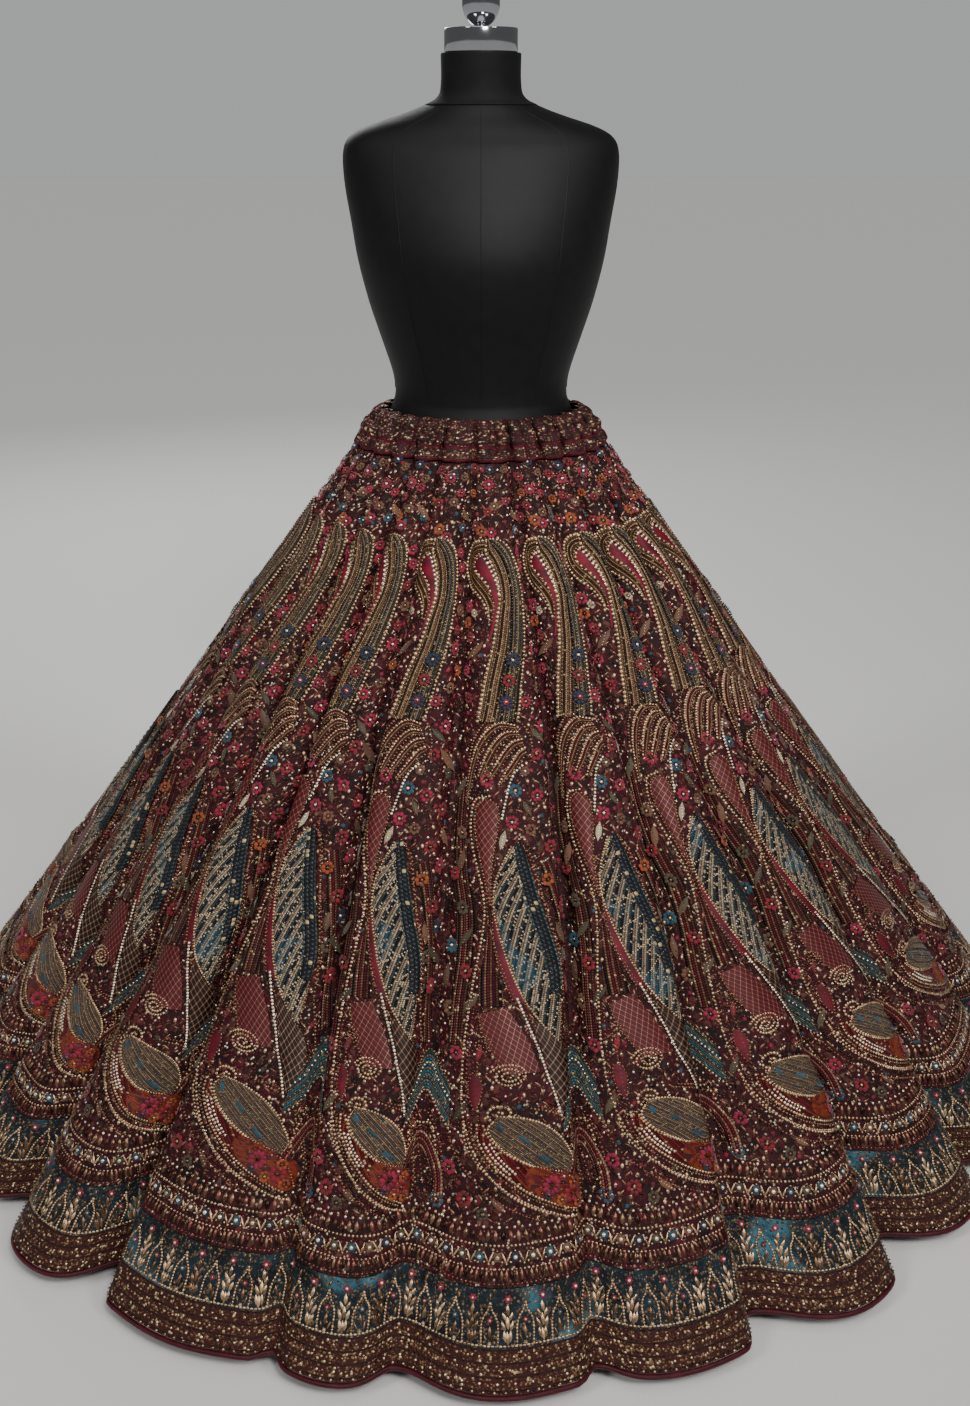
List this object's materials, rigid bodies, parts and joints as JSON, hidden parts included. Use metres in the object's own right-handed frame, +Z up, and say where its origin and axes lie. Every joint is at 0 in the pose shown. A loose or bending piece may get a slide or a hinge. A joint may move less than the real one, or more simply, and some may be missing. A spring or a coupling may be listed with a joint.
{
  "type": "lehenga skirt on a dress form",
  "caption": "Flared, gathered lehenga skirt of embroidered velvet, standing on a black limbless dress form with a chromed neck cap and a round-based pole stand.",
  "frame": {"origin": "middle of the stand's flat underside, on the floor, under the waist", "axes": "+Z up along the pole, -Y out of the front of the skirt, +X to the right of someone who faces the front"},
  "size_m": [1.5611, 1.5745, 1.4091],
  "materials": {
    "gathered_band": "gathered casing of dark velvet, thickly worked with bronze and gold beads",
    "embroidered_velvet": "wine velvet under dense paisley and flower embroidery in antique gold, teal, magenta and orange, with sequins and beads",
    "brocade_border": "teal and navy band with gold arches, and three bronze sequinned rows below it",
    "piping_satin": "maroon satin piping",
    "form_cover": "black stretch cloth cover with faint panel seams, velvet on the neck",
    "chromed_cap": "polished chrome",
    "stand_steel": "plain satin steel"
  },
  "bodies": {
    "root": {"waistband": "gathered_band", "kali_01": "embroidered_velvet", "kali_02": "embroidered_velvet", "kali_03": "embroidered_velvet", "kali_04": "embroidered_velvet", "kali_05": "embroidered_velvet", "kali_06": "embroidered_velvet", "kali_07": "embroidered_velvet", "kali_08": "embroidered_velvet", "kali_09": "embroidered_velvet", "kali_10": "embroidered_velvet", "kali_11": "embroidered_velvet", "kali_12": "embroidered_velvet", "kali_13": "embroidered_velvet", "kali_14": "embroidered_velvet", "kali_15": "embroidered_velvet", "kali_16": "embroidered_velvet", "kali_17": "embroidered_velvet", "kali_18": "embroidered_velvet", "kali_19": "embroidered_velvet", "kali_20": "embroidered_velvet", "kali_21": "embroidered_velvet", "kali_22": "embroidered_velvet", "kali_23": "embroidered_velvet", "kali_24": "embroidered_velvet", "hem_border": "brocade_border", "hem_piping": "piping_satin", "dress_form": "form_cover", "neck_cap": "chromed_cap", "stand": "stand_steel"}
  },
  "joints": []
}
